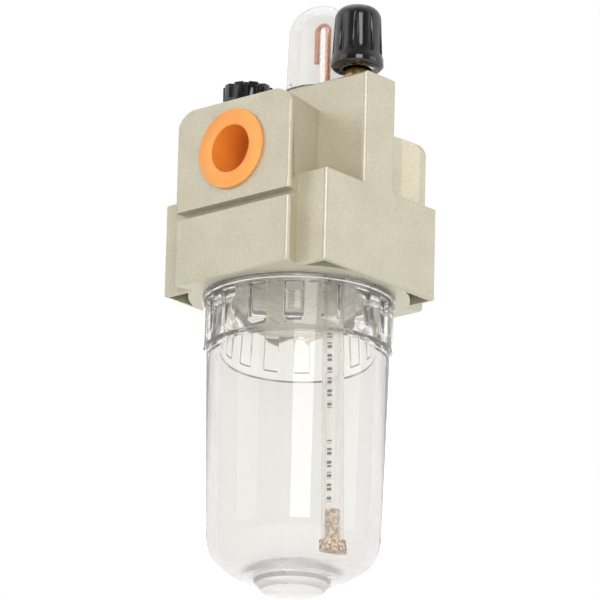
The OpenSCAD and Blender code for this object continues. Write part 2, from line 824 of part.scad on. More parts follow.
body();
inlet_dust_plug();
bowl();
bowl_o_ring();
sight_dome();
dome_o_ring();
drip_tube();
needle_bush();
needle_stem();
needle_o_ring();
adjusting_knob();
fill_plug();
fill_plug_o_ring();
oil_nipple();
oil_check_ball();
oil_tube();
sintered_filter();
air_valve_body();
air_check_ball();
damper_holder();
damper_vane();
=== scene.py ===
import json
import math

import bmesh
import bpy
from mathutils import Matrix, Vector
from mathutils.bvhtree import BVHTree


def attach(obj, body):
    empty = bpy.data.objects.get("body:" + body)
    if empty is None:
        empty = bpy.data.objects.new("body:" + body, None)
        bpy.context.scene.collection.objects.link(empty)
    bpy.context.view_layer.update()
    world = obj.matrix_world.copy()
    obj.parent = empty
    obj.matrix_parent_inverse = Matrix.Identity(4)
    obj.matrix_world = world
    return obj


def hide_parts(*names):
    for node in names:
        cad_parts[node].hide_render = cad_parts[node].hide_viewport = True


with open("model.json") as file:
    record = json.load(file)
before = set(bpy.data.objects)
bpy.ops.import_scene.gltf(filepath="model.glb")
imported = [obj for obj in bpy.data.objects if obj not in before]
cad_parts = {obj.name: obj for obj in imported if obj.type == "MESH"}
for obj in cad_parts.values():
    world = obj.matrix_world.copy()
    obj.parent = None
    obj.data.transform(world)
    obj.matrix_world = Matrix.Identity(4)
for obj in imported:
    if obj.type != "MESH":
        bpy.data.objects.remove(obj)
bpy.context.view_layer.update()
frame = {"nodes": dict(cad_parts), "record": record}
mm = 0.001
bowlAxis = Vector((-20, 0, -24.3)) * mm  # bowl axis at the underside of the collar
domeAxis = bowlAxis + Vector((1.7, -2.9, 0)) * mm
smoothAngle = 35


# handling

def pickOnly(piece):
    if bpy.context.object and bpy.context.object.mode == "EDIT":
        bpy.ops.object.mode_set(mode="OBJECT")
    bpy.ops.object.select_all(action="DESELECT")
    piece.select_set(True)
    bpy.context.view_layer.objects.active = piece


def startEdit(piece, action="SELECT"):
    pickOnly(piece)
    bpy.ops.object.mode_set(mode="EDIT")
    bpy.ops.mesh.select_all(action=action)


def endEdit():
    bpy.ops.object.mode_set(mode="OBJECT")


def smoothOver(piece, degrees):
    pickOnly(piece)
    bpy.ops.object.shade_smooth_by_angle(angle=math.radians(degrees))


def evenNormals(piece):
    # smooth round edges, flat faces kept flat
    smoothOver(piece, smoothAngle)
    even = piece.modifiers.new("even", "WEIGHTED_NORMAL")
    even.keep_sharp = True
    even.weight = 100
    bpy.ops.object.modifier_apply(modifier=even.name)


def copyNode(nodeName, pieceName, flatten=True):
    pickOnly(frame["nodes"][nodeName])
    bpy.ops.object.duplicate()
    piece = bpy.context.object
    piece.name = pieceName
    startEdit(piece)
    bpy.ops.mesh.customdata_custom_splitnormals_clear()
    bpy.ops.mesh.remove_doubles(threshold=0.002 * mm)
    if flatten:
        bpy.ops.mesh.dissolve_limited(angle_limit=math.radians(0.3))
    endEdit()
    return piece


def pickOpenEdges(piece, degrees):
    # sharp edges with open air in front of them, so drillings stay as they are
    startEdit(piece, "DESELECT")
    bpy.ops.mesh.select_mode(type="EDGE")
    mesh = bmesh.from_edit_mesh(piece.data)
    walls = BVHTree.FromBMesh(mesh)
    for edge in mesh.edges:
        if len(edge.link_faces) != 2 or edge.calc_face_angle() < math.radians(degrees):
            continue
        away = (edge.link_faces[0].normal + edge.link_faces[1].normal).normalized()
        middle = (edge.verts[0].co + edge.verts[1].co) / 2
        if walls.ray_cast(middle + away * 0.02 * mm, away)[0] is None:
            edge.select = True
    bmesh.update_edit_mesh(piece.data)


def bevelPicked(width, segments):
    bpy.ops.mesh.bevel(offset=width * mm, segments=segments, profile=0.5, affect="EDGES", clamp_overlap=False)


def roundedOutline(corners):
    # corners as radius, height, rounding in mm
    points = []
    for i, (x, z, rounding) in enumerate(corners):
        here = Vector((x, z))
        if not rounding:
            points.append(here)
            continue
        before = Vector(corners[i - 1][:2]) - here
        after = Vector(corners[(i + 1) % len(corners)][:2]) - here
        half = before.angle(after) / 2
        reach = min(rounding / math.tan(half), 0.9 * before.length, 0.9 * after.length)
        radius = reach * math.tan(half)
        centre = here + (before.normalized() + after.normalized()).normalized() * radius / math.sin(half)
        start = here + before.normalized() * reach - centre
        end = here + after.normalized() * reach - centre
        sweep = math.atan2(start.x * end.y - start.y * end.x, start.dot(end))
        steps = 14 if rounding > 2 else 4
        for k in range(steps + 1):
            turn = sweep * k / steps
            points.append(centre + Vector((
                start.x * math.cos(turn) - start.y * math.sin(turn),
                start.x * math.sin(turn) + start.y * math.cos(turn))))
    return points


def turnPiece(pieceName, outline, axis, steps, phase=0.0):
    # an outline spun round an upright axis, as on a lathe
    bpy.ops.object.select_all(action="DESELECT")
    bpy.ops.mesh.primitive_circle_add(vertices=len(outline), radius=mm, location=(0, 0, 0))
    piece = bpy.context.object
    piece.name = pieceName
    for vert, spot in zip(piece.data.vertices, outline):
        vert.co = axis + Vector((spot.x * math.cos(phase), spot.x * math.sin(phase), spot.y)) * mm
    startEdit(piece, "DESELECT")
    mesh = bmesh.from_edit_mesh(piece.data)
    bpy.ops.mesh.select_mode(type="EDGE")
    onAxis = [e for e in mesh.edges if all((v.co - axis).xy.length < 0.001 * mm for v in e.verts)]
    for edge in onAxis:
        edge.select = True
    bmesh.update_edit_mesh(piece.data)
    if onAxis:
        bpy.ops.mesh.delete(type="EDGE")
    bpy.ops.mesh.select_all(action="SELECT")
    bpy.ops.mesh.spin(steps=steps, angle=2 * math.pi, center=axis, axis=(0, 0, 1))
    bpy.ops.mesh.select_all(action="SELECT")
    bpy.ops.mesh.remove_doubles(threshold=0.001 * mm)
    bpy.ops.mesh.normals_make_consistent(inside=False)
    endEdit()
    return piece


def coilRidge(pieceName, section, axis, low, pitch, turns, steps, alongX=False):
    # a thread ridge: its section wound up an upright axis by the Screw modifier
    bpy.ops.object.select_all(action="DESELECT")
    bpy.ops.mesh.primitive_circle_add(vertices=len(section), radius=mm, location=(0, 0, 0))
    ridge = bpy.context.object
    ridge.name = pieceName
    for vert, (x, z) in zip(ridge.data.vertices, section):
        vert.co = Vector((x, 0, low + z)) * mm
    screw = ridge.modifiers.new("wind", "SCREW")
    screw.axis = "Z"
    screw.angle = 2 * math.pi * turns
    screw.screw_offset = pitch * turns * mm
    screw.steps = screw.render_steps = int(steps * turns)
    screw.use_merge_vertices = False
    bpy.ops.object.modifier_apply(modifier=screw.name)
    startEdit(ridge)
    bpy.ops.mesh.remove_doubles(threshold=0.001 * mm)
    bpy.ops.mesh.fill_holes(sides=0)
    bpy.ops.mesh.select_all(action="SELECT")
    bpy.ops.mesh.normals_make_consistent(inside=False)
    endEdit()
    if alongX:
        ridge.rotation_euler = (0, math.radians(90), 0)
    ridge.location = axis
    bpy.ops.object.transform_apply(location=True, rotation=True, scale=True)
    return ridge


def joinSolid(piece, other, operation):
    pickOnly(piece)
    cut = piece.modifiers.new("join", "BOOLEAN")
    cut.operation = operation
    cut.solver = "EXACT"
    cut.object = other
    bpy.ops.object.modifier_apply(modifier=cut.name)
    pickOnly(other)
    bpy.ops.object.delete()


def settle(piece, body, nodeName, material):
    piece.data.materials.clear()
    piece.data.materials.append(material)
    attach(piece, body)
    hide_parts(nodeName)


# shared effects

def grainGroup():
    # fine grain and slow tone drift, both from the piece's own coordinates
    group = bpy.data.node_groups.new("grainAndTone", "ShaderNodeTree")
    group.interface.new_socket(name="Place", in_out="INPUT", socket_type="NodeSocketVector")
    group.interface.new_socket(name="Grain Scale", in_out="INPUT", socket_type="NodeSocketFloat")
    group.interface.new_socket(name="Tone Scale", in_out="INPUT", socket_type="NodeSocketFloat")
    group.interface.new_socket(name="Grain", in_out="OUTPUT", socket_type="NodeSocketFloat")
    group.interface.new_socket(name="Tone", in_out="OUTPUT", socket_type="NodeSocketFloat")
    start = group.nodes.new("NodeGroupInput")
    end = group.nodes.new("NodeGroupOutput")
    grain = group.nodes.new("ShaderNodeTexNoise")
    grain.inputs["Detail"].default_value = 2.0
    grain.inputs["Roughness"].default_value = 0.55
    tone = group.nodes.new("ShaderNodeTexNoise")
    tone.inputs["Detail"].default_value = 3.0
    for noise, scale, out in ((grain, "Grain Scale", "Grain"), (tone, "Tone Scale", "Tone")):
        group.links.new(start.outputs["Place"], noise.inputs["Vector"])
        group.links.new(start.outputs[scale], noise.inputs["Scale"])
        group.links.new(noise.outputs["Fac"], end.inputs[out])
    return group


grainAndTone = grainGroup()


def newMaterial(name):
    material = bpy.data.materials.new(name)
    material.use_nodes = True
    tree = material.node_tree
    shader = tree.nodes["Principled BSDF"]
    place = tree.nodes.new("ShaderNodeTexCoord")
    return material, tree, shader, place


def addGrain(tree, place, grainScale, toneScale):
    node = tree.nodes.new("ShaderNodeGroup")
    node.node_tree = grainAndTone
    node.inputs["Grain Scale"].default_value = grainScale
    node.inputs["Tone Scale"].default_value = toneScale
    tree.links.new(place.outputs["Object"], node.inputs["Place"])
    return node


def addRamp(tree, source, stops):
    ramp = tree.nodes.new("ShaderNodeValToRGB")
    while len(ramp.color_ramp.elements) < len(stops):
        ramp.color_ramp.elements.new(0.5)
    for element, (at, colour) in zip(ramp.color_ramp.elements, stops):
        element.position = at
        element.color = (*colour, 1)
    tree.links.new(source, ramp.inputs["Fac"])
    return ramp.outputs["Color"]


def setTone(tree, shader, source, dark, light):
    tree.links.new(addRamp(tree, source, [(0.3, dark), (0.7, light)]), shader.inputs["Base Color"])


def setRoughness(tree, shader, source, low, high):
    span = tree.nodes.new("ShaderNodeMapRange")
    span.inputs["To Min"].default_value = low
    span.inputs["To Max"].default_value = high
    tree.links.new(source, span.inputs["Value"])
    tree.links.new(span.outputs["Result"], shader.inputs["Roughness"])


def addBump(tree, shader, height, strength, distance):
    bump = tree.nodes.new("ShaderNodeBump")
    bump.inputs["Strength"].default_value = strength
    bump.inputs["Distance"].default_value = distance * mm
    tree.links.new(height, bump.inputs["Height"])
    tree.links.new(bump.outputs["Normal"], shader.inputs["Normal"])
    return bump


# finishes

def champagnePaint():
    material, tree, shader, place = newMaterial("champagnePaint")
    grain = addGrain(tree, place, 3600, 140)
    flakes = tree.nodes.new("ShaderNodeTexVoronoi")
    flakes.inputs["Scale"].default_value = 5200
    tree.links.new(place.outputs["Object"], flakes.inputs["Vector"])
    base = addRamp(tree, grain.outputs["Tone"], [(0.3, (0.575, 0.535, 0.415)), (0.7, (0.63, 0.59, 0.465))])
    sparkle = addRamp(tree, flakes.outputs["Color"], [(0.25, (0.86, 0.86, 0.86)), (0.8, (1.12, 1.11, 1.08))])
    mix = tree.nodes.new("ShaderNodeMix")
    mix.data_type = "RGBA"
    mix.blend_type = "MULTIPLY"
    mix.inputs["Factor"].default_value = 0.6
    tree.links.new(base, mix.inputs["A"])
    tree.links.new(sparkle, mix.inputs["B"])
    tree.links.new(mix.outputs["Result"], shader.inputs["Base Color"])
    setRoughness(tree, shader, grain.outputs["Grain"], 0.31, 0.46)
    shader.inputs["Metallic"].default_value = 0.45
    addBump(tree, shader, grain.outputs["Grain"], 0.3, 0.02)
    return material


def letLightThrough(tree, shader):
    # lamps reach what is inside a clear piece
    rays = tree.nodes.new("ShaderNodeLightPath")
    clear = tree.nodes.new("ShaderNodeBsdfTransparent")
    clear.inputs["Color"].default_value = (0.98, 0.98, 0.97, 1)
    mix = tree.nodes.new("ShaderNodeMixShader")
    tree.links.new(rays.outputs["Is Shadow Ray"], mix.inputs["Fac"])
    tree.links.new(shader.outputs["BSDF"], mix.inputs[1])
    tree.links.new(clear.outputs["BSDF"], mix.inputs[2])
    tree.links.new(mix.outputs["Shader"], tree.nodes["Material Output"].inputs["Surface"])


def litSocketCasting():
    # bare casting inside the bowl socket, given a paler and brighter tone than it has: painted light that
    # lifts the shade in the socket
    material, tree, shader, place = newMaterial("litSocketCasting")
    grain = addGrain(tree, place, 1800, 200)
    setTone(tree, shader, grain.outputs["Tone"], (0.87, 0.83, 0.74), (0.93, 0.90, 0.82))
    setRoughness(tree, shader, grain.outputs["Grain"], 0.45, 0.62)
    shader.inputs["Metallic"].default_value = 0.1
    addBump(tree, shader, grain.outputs["Grain"], 0.25, 0.03)
    return material


def clearPlastic(name, tint, roughness, clearness):
    material, tree, shader, place = newMaterial(name)
    grain = addGrain(tree, place, 900, 90)
    shader.inputs["Base Color"].default_value = (*tint, 1)
    shader.inputs["Transmission Weight"].default_value = clearness  # a moulding is a little hazy
    shader.inputs["IOR"].default_value = 1.5
    setRoughness(tree, shader, grain.outputs["Tone"], roughness * 0.5, roughness * 1.5)
    addBump(tree, shader, grain.outputs["Tone"], 0.04, 0.1)
    letLightThrough(tree, shader)
    return material


def orangePlastic(name, deep, pale):
    material, tree, shader, place = newMaterial(name)
    grain = addGrain(tree, place, 2400, 160)
    setTone(tree, shader, grain.outputs["Tone"], deep, pale)
    setRoughness(tree, shader, grain.outputs["Grain"], 0.38, 0.5)
    shader.inputs["Subsurface Weight"].default_value = 0.25
    shader.inputs["Subsurface Radius"].default_value = (1.0, 0.4, 0.1)
    shader.inputs["Subsurface Scale"].default_value = 0.6 * mm
    addBump(tree, shader, grain.outputs["Grain"], 0.12, 0.02)
    return material


def blackPlastic():
    material, tree, shader, place = newMaterial("blackPlastic")
    grain = addGrain(tree, place, 3000, 220)
    setTone(tree, shader, grain.outputs["Tone"], (0.006, 0.006, 0.006), (0.011, 0.011, 0.011))
    setRoughness(tree, shader, grain.outputs["Tone"], 0.07, 0.12)
    shader.inputs["Specular IOR Level"].default_value = 0.75
    addBump(tree, shader, grain.outputs["Grain"], 0.08, 0.02)
    return material


def sealRubber():
    material, tree, shader, place = newMaterial("sealRubber")
    grain = addGrain(tree, place, 2600, 300)
    setTone(tree, shader, grain.outputs["Tone"], (0.008, 0.008, 0.008), (0.020, 0.020, 0.021))
    setRoughness(tree, shader, grain.outputs["Grain"], 0.5, 0.7)
    addBump(tree, shader, grain.outputs["Grain"], 0.2, 0.02)
    return material


def metalFinish(name, dark, light, roughLow, roughHigh, lines):
    material, tree, shader, place = newMaterial(name)
    grain = addGrain(tree, place, 2200, 350)
    setTone(tree, shader, grain.outputs["Tone"], dark, light)
    setRoughness(tree, shader, grain.outputs["Grain"], roughLow, roughHigh)
    shader.inputs["Metallic"].default_value = 1.0
    turned = tree.nodes.new("ShaderNodeTexWave")  # tool marks round the piece
    turned.bands_direction = "Z"
    turned.inputs["Scale"].default_value = lines
    turned.inputs["Distortion"].default_value = 0.6
    tree.links.new(place.outputs["Object"], turned.inputs["Vector"])
    addBump(tree, shader, turned.outputs["Fac"], 0.08, 0.015)
    return material


def sinteredBronze():
    material, tree, shader, place = newMaterial("sinteredBronze")
    beads = tree.nodes.new("ShaderNodeTexVoronoi")
    beads.inputs["Scale"].default_value = 1900
    tree.links.new(place.outputs["Object"], beads.inputs["Vector"])
    stops = [(0.25, (0.98, 0.78, 0.56)), (0.65, (0.34, 0.18, 0.08))]
    colour = addRamp(tree, beads.outputs["Distance"], stops)
    tree.links.new(colour, shader.inputs["Base Color"])
    setRoughness(tree, shader, beads.outputs["Distance"], 0.38, 0.7)
    shader.inputs["Metallic"].default_value = 0.5
    bump = addBump(tree, shader, beads.outputs["Distance"], 0.8, 0.1)
    bump.invert = True
    return material


tubeMarks = {
    "pitch": 2.3, "length": 1.4, "beat": 0.87, "stroke": 0.6,
    "axis": (-20, -8.2, -14.3), "way": (-0.94, -0.34, 0.0064), "reach": 1.95,
    "runs": ((-18.5, -22), (-33, -48), (-54, -66)),
}


def nylonTube():
    material, tree, shader, place = newMaterial("nylonTube")
    grain = addGrain(tree, place, 700, 120)
    split = tree.nodes.new("ShaderNodeSeparateXYZ")
    tree.links.new(place.outputs["Object"], split.inputs["Vector"])

    def calc(operation, a, b):
        node = tree.nodes.new("ShaderNodeMath")
        node.operation = operation
        for socket, value in zip(node.inputs, (a, b)):
            if isinstance(value, (int, float)):
                socket.default_value = value
            else:
                tree.links.new(value, socket)
        return node.outputs[0]

    along = calc("ADD", split.outputs["Z"], 1.0)  # a plain broken line along the tube
    dash = calc("LESS_THAN", calc("MODULO", along, tubeMarks["pitch"] * mm), tubeMarks["length"] * mm)
    stroke = calc("LESS_THAN", calc("MODULO", along, tubeMarks["beat"] * mm), tubeMarks["stroke"] * mm)
    inRuns = 0.0
    for top, bottom in tubeMarks["runs"]:
        below = calc("LESS_THAN", split.outputs["Z"], top * mm)
        above = calc("GREATER_THAN", split.outputs["Z"], bottom * mm)
        inRuns = calc("ADD", inRuns, calc("MULTIPLY", below, above))
    side = tree.nodes.new("ShaderNodeVectorMath")
    side.operation = "DOT_PRODUCT"
    side.inputs[1].default_value = tubeMarks["way"]
    tree.links.new(place.outputs["Object"], side.inputs[0])
    outward = (Vector(tubeMarks["axis"]).dot(Vector(tubeMarks["way"])) + tubeMarks["reach"]) * mm
    front = calc("GREATER_THAN", side.outputs["Value"], outward)
    mask = calc("MULTIPLY", calc("MULTIPLY", dash, stroke), calc("MULTIPLY", inRuns, front))
    colour = addRamp(tree, mask, [(0.0, (0.92, 0.91, 0.89)), (1.0, (0.01, 0.01, 0.01))])
    tree.links.new(colour, shader.inputs["Base Color"])
    setRoughness(tree, shader, grain.outputs["Tone"], 0.08, 0.2)
    shader.inputs["Transmission Weight"].default_value = 0.95
    shader.inputs["IOR"].default_value = 1.45
    addBump(tree, shader, grain.outputs["Tone"], 0.05, 0.1)
    letLightThrough(tree, shader)
    return material


finishes = {
    "painted_casting": champagnePaint(),
    "clear_polycarbonate": clearPlastic("clearPolycarbonate", (0.89, 0.88, 0.86), 0.02, 0.94),
    "clear_nylon": nylonTube(),
    "orange_polyethylene": orangePlastic("orangePlastic", (0.93, 0.375, 0.085), (0.98, 0.435, 0.12)),
    "black_plastic": blackPlastic(),
    "nitrile_rubber": sealRubber(),
    "turned_brass": metalFinish("turnedBrass", (0.62, 0.38, 0.11), (0.75, 0.50, 0.18), 0.18, 0.3, 900),
    "copper_tube": metalFinish("copperTube", (0.60, 0.24, 0.13), (0.76, 0.36, 0.22), 0.2, 0.34, 160),
    "sintered_bronze": sinteredBronze(),
    "ball_steel": metalFinish("ballSteel", (0.52, 0.53, 0.55), (0.62, 0.63, 0.65), 0.08, 0.14, 60),
}
machinedAluminium = metalFinish("machinedAluminium", (0.70, 0.69, 0.66), (0.80, 0.79, 0.76), 0.3, 0.42, 700)
print("finishes made:", len(finishes))


# body casting: the CAD casting with its outer edges rounded by a cutter made of rounded blocks

castBody = {
    "edge": 0.6, "edgeSegments": 4, "over": 0.01, "overStep": 1.4,
    "collar": (16.2, 20, 18.1), "collarCorner": 0.7,
    "padHalf": 14.2, "padCorner": 0.8, "padRoot": (15.2, 12.74),
    "rimBack": (18.3, 13.68), "waist": (16.2, 10.9), "neck": (5.4, 8.4),
    "length": 20, "blockTop": 34.3, "flangeCorner": 4.3,
    "ridge": (-5.4, 3.6), "ridgeTop": 40.2, "ridgeRounding": 0.8, "bossRadius": 7,
    "blockSink": 2, "flangeStep": 3, "flangeSide": 1, "flangeEnd": 0.02, "ridgeRoot": 10, "bossRoot": 25,
    "portRoot": 5.52, "portThread": 6.4, "portPitch": 1.337, "portTurns": 8, "portHeight": 24.3,
    "portRunOut": 0.4, "portZone": 6.5, "portWall": 0.98, "socketZone": (17.6, 0.05, 11.1),
}


def extrudeOutline(pieceName, outline, low, high, along, roundLow=True, roundHigh=True):
    # an outline drawn across one axis and pulled along it, with its end rims rounded
    place = {
        "X": lambda a, b, c: Vector((c, a, b)),
        "Y": lambda a, b, c: Vector((a, c, b)),
        "Z": lambda a, b, c: Vector((a, b, c)),
    }[along]
    bpy.ops.object.select_all(action="DESELECT")
    bpy.ops.mesh.primitive_circle_add(vertices=len(outline), radius=mm, fill_type="NGON", location=(0, 0, 0))
    piece = bpy.context.object
    piece.name = pieceName
    for vert, spot in zip(piece.data.vertices, outline):
        vert.co = bowlAxis + place(spot.x, spot.y, low) * mm
    startEdit(piece)
    bpy.ops.mesh.extrude_region_move(TRANSFORM_OT_translate={"value": place(0, 0, high - low) * mm})
    bpy.ops.mesh.select_all(action="SELECT")
    bpy.ops.mesh.normals_make_consistent(inside=False)
    bpy.ops.mesh.select_mode(type="EDGE")
    bpy.ops.mesh.select_all(action="DESELECT")
    mesh = bmesh.from_edit_mesh(piece.data)
    axis = "XYZ".index(along)
    ends = [end for end, rounded in ((low, roundLow), (high, roundHigh)) if rounded]
    for edge in mesh.edges:
        reach = [(vert.co - bowlAxis)[axis] / mm for vert in edge.verts]
        edge.select = any(max(abs(at - end) for at in reach) < 0.001 for end in ends)
    bmesh.update_edit_mesh(piece.data)
    bevelPicked(castBody["edge"], castBody["edgeSegments"])
    endEdit()
    return piece


def mirrored(quarter):
    # a quarter plan with its roundings, repeated about both axes
    half = quarter + [(-x, y, r) for x, y, r in reversed(quarter)]
    return half + [(x, -y, r) for x, y, r in reversed(half)]


def castCutter():
    # each block stands a little further out than the last, so that no two faces share a plane
    over, further = castBody["over"], castBody["overStep"]
    halfX, halfY, height = castBody["collar"]
    collarPlan = mirrored([(halfX + over, halfY + over, castBody["collarCorner"])])
    collar = extrudeOutline("collarBlock", roundedOutline(collarPlan), -over, height + over, "Z")
    over *= further
    length, padHalf = castBody["length"] + over, castBody["padHalf"] + over
    rootX, rootY = castBody["padRoot"]
    padPlan = mirrored([(length, padHalf, castBody["padCorner"]), (rootX, rootY + over, 0)])
    pads = extrudeOutline("padBlock", roundedOutline(padPlan), -over, height + over, "Z", roundHigh=False)
    over *= further
    length, padHalf = castBody["length"] + over, castBody["padHalf"] + over
    rimX, rimY = castBody["rimBack"]
    waistX, waistY = castBody["waist"]
    neckX, neckY = castBody["neck"]
    blockPlan = mirrored([
        (length, padHalf, castBody["edge"]), (rimX - over, rimY + over, castBody["edge"] / 2),
        (waistX, waistY + over, 0), (neckX, neckY + over, 0)])
    top, corner = castBody["blockTop"] + over, castBody["flangeCorner"]
    low, high = height - castBody["blockSink"], top + castBody["blockSink"]
    ports = extrudeOutline("portBlock", roundedOutline(blockPlan), low, high, "Z", False, False)
    end = length + castBody["flangeEnd"]
    step, side = top - corner - castBody["flangeStep"], padHalf + castBody["flangeSide"]
    flangeHalf = [(side, 0, 0), (side, step, 0), (padHalf, step, 0), (padHalf, top, corner)]
    flangePlan = flangeHalf + [(-y, z, rounding) for y, z, rounding in reversed(flangeHalf)]
    flange = extrudeOutline("flangeBlock", roundedOutline(flangePlan), -end, end, "X")
    joinSolid(ports, flange, "INTERSECT")
    over *= further
    low, high = castBody["ridge"][0] - over, castBody["ridge"][1] + over
    ridgeTop, rounding = castBody["ridgeTop"] + over, castBody["ridgeRounding"]
    root = castBody["ridgeRoot"]
    ridgePlan = [(high, root, 0), (high, ridgeTop, rounding), (low, ridgeTop, rounding), (low, root, 0)]
    ridge = extrudeOutline("ridgeBlock", roundedOutline(ridgePlan), -halfY - over, halfY + over, "Y")
    over *= further
    bossAt = (domeAxis - bowlAxis) / mm
    ring = [math.radians(360 * k / 64) for k in range(64)]
    bossRadius = castBody["bossRadius"] + over
    bossPlan = [bossAt.xy + bossRadius * Vector((math.cos(a), math.sin(a))) for a in ring]
    bossTop = castBody["ridgeTop"] + over
    boss = extrudeOutline("bossBlock", bossPlan, castBody["bossRoot"], bossTop, "Z", roundLow=False)
    for block in (pads, ports, ridge, boss):
        joinSolid(collar, block, "UNION")
    return collar


casting = copyNode("body", "castBody", flatten=False)
joinSolid(casting, castCutter(), "INTERSECT")
portAxis = bowlAxis + Vector((0, 0, castBody["portHeight"])) * mm
root, crest = castBody["portRoot"], castBody["portThread"]
portPitch, portTurns = castBody["portPitch"], castBody["portTurns"]
threadSection = [(root, -0.62), (crest, -0.06), (crest, 0.06), (root, 0.62)]
threadEnd = castBody["length"] + castBody["portRunOut"]
for start in (-threadEnd, threadEnd - portPitch * portTurns):
    cutter = coilRidge("portThread", threadSection, portAxis, start, portPitch, portTurns, 64, alongX=True)
    joinSolid(casting, cutter, "DIFFERENCE")
startEdit(casting)
bpy.ops.mesh.remove_doubles(threshold=0.002 * mm)
bpy.ops.mesh.dissolve_limited(angle_limit=math.radians(0.4))
endEdit()
evenNormals(casting)
settle(casting, "housing", "body", finishes["painted_casting"])
casting.data.materials.append(machinedAluminium)
# painted light: the socket faces take the pale casting tone, brighter than the shade that falls there
casting.data.materials.append(litSocketCasting())
socketRadius, socketLow, socketHigh = castBody["socketZone"]
for face in casting.data.polygons:
    spot = (face.center - bowlAxis) / mm
    fromPort = math.hypot(spot.y, spot.z - castBody["portHeight"])
    inPort = fromPort < castBody["portZone"] and abs(face.normal.x) < castBody["portWall"]
    inSocket = spot.xy.length < socketRadius and socketLow < spot.z < socketHigh
    face.material_index = 1 if inPort else 2 if inSocket else 0
print("body casting:", len(casting.data.polygons), "faces")


# oil bowl

oilBowl = {
    "steps": 160, "pockets": 16, "pocketPhase": 9.8, "pocketDepth": 0.9, "pocketEdge": 0.22,
    "pocketLow": -8.8, "pocketHigh": -1.9, "pocketInner": 16.6, "bandRadius": 17.85, "bandLow": -11.2,
    "bossTop": -54.45, "bossZone": 9.2, "pitch": 1.5, "turns": 5, "threadLow": 1.2,
}
band = oilBowl["bandRadius"]
bowlCorners = [
    # radius, height, rounding
    (15.8, 10, 0.5), (15.8, -0.2, 0.15), (18.15, -0.2, 0.15), (18.15, -1.3, 0.25), (band, -1.3, 0.06),
    (band, oilBowl["pocketHigh"], 0), (band, oilBowl["pocketLow"], 0), (band, -10.5, 0.4), (17.35, -11, 0.3),
    (16.25, -54.5, 8), (7.15, -54.5, 0.3), (7.15, -55.6, 0.25), (5.85, -56.9, 0.35), (0, -56.9, 0),
    (0, -52.1, 0), (13.9, -52.1, 5.6), (14.95, -11, 1), (13.4, -0.2, 1), (13.4, 10, 0.4),
]
bowlPhase = math.radians(oilBowl["pocketPhase"])
bowl = turnPiece("oilBowl", roundedOutline(bowlCorners), bowlAxis, oilBowl["steps"], bowlPhase)


def pickPockets():
    startEdit(bowl, "DESELECT")
    bpy.ops.mesh.select_mode(type="FACE")
    mesh = bmesh.from_edit_mesh(bowl.data)
    pitch = 360 / oilBowl["pockets"]
    for face in mesh.faces:
        spot = (face.calc_center_median() - bowlAxis) / mm
        turn = (math.degrees(math.atan2(spot.y, spot.x)) - oilBowl["pocketPhase"]) % pitch
        onBand = spot.xy.length > band - 0.1
        face.select = onBand and oilBowl["pocketLow"] < spot.z < oilBowl["pocketHigh"] and turn < pitch / 2
    bmesh.update_edit_mesh(bowl.data)


pickPockets()
bpy.ops.mesh.extrude_region_shrink_fatten(TRANSFORM_OT_shrink_fatten={"value": -oilBowl["pocketDepth"] * mm})
bpy.ops.mesh.select_mode(type="EDGE")
bpy.ops.mesh.select_all(action="DESELECT")
mesh = bmesh.from_edit_mesh(bowl.data)
for edge in mesh.edges:
    spot = ((edge.verts[0].co + edge.verts[1].co) / 2 - bowlAxis) / mm
    level = oilBowl["pocketLow"] - 0.05 < spot.z < oilBowl["pocketHigh"] + 0.05
    inZone = level and spot.xy.length > oilBowl["pocketInner"]
    edge.select = inZone and len(edge.link_faces) == 2 and edge.calc_face_angle() > math.radians(40)
bmesh.update_edit_mesh(bowl.data)
bevelPicked(oilBowl["pocketEdge"], 2)
endEdit()
ridgeSection = [(15.6, -0.5), (16.02, -0.12), (16.02, 0.12), (15.6, 0.5)]
bowlThread = coilRidge(
    "bowlThread", ridgeSection, bowlAxis, oilBowl["threadLow"], oilBowl["pitch"], oilBowl["turns"], 80)
joinSolid(bowl, bowlThread, "UNION")
smoothOver(bowl, smoothAngle)
settle(bowl, "oil_bowl", "bowl", finishes["clear_polycarbonate"])
# the boss below is lightly frosted; the grip band gets a paler, warmer tint as painted light, lifting the
# shade seen through it
bowl.data.materials.append(clearPlastic("frostedPolycarbonate", (0.92, 0.90, 0.88), 0.3, 0.72))
bowl.data.materials.append(clearPlastic("bandLitPolycarbonate", (0.985, 0.965, 0.93), 0.02, 0.94))
for face in bowl.data.polygons:
    spot = (face.center - bowlAxis) / mm
    onBoss = spot.z < oilBowl["bossTop"] and spot.xy.length < oilBowl["bossZone"]
    face.material_index = 1 if onBoss else 2 if spot.z > oilBowl["bandLow"] else 0
print("oil bowl turned:", len(bowl.data.polygons), "faces")


# sight dome

sightDome = {"steps": 96, "capSteps": 20, "low": 35.4, "top": 51.6, "outer": 6.6, "inner": 4.9}


def domeCap(radius):
    # the round top, from its foot to the axis
    turns = [math.radians(90 * k / sightDome["capSteps"]) for k in range(sightDome["capSteps"] + 1)]
    return [Vector((radius * math.cos(a), sightDome["top"] + radius * math.sin(a))) for a in turns]


domeOutline = roundedOutline([(6, sightDome["low"], 0.3), (6, 40.4, 0.08), (7, 40.4, 0.3), (6.98, 41, 0)])
domeOutline += domeCap(sightDome["outer"]) + domeCap(sightDome["inner"])[::-1]
domeOutline += [Vector((sightDome["inner"], sightDome["low"]))]
dome = turnPiece("sightDome", domeOutline, domeAxis, sightDome["steps"])
smoothOver(dome, smoothAngle)
settle(dome, "housing", "sight_dome", finishes["clear_polycarbonate"])
print("sight dome turned")


# small pieces with rounded edges

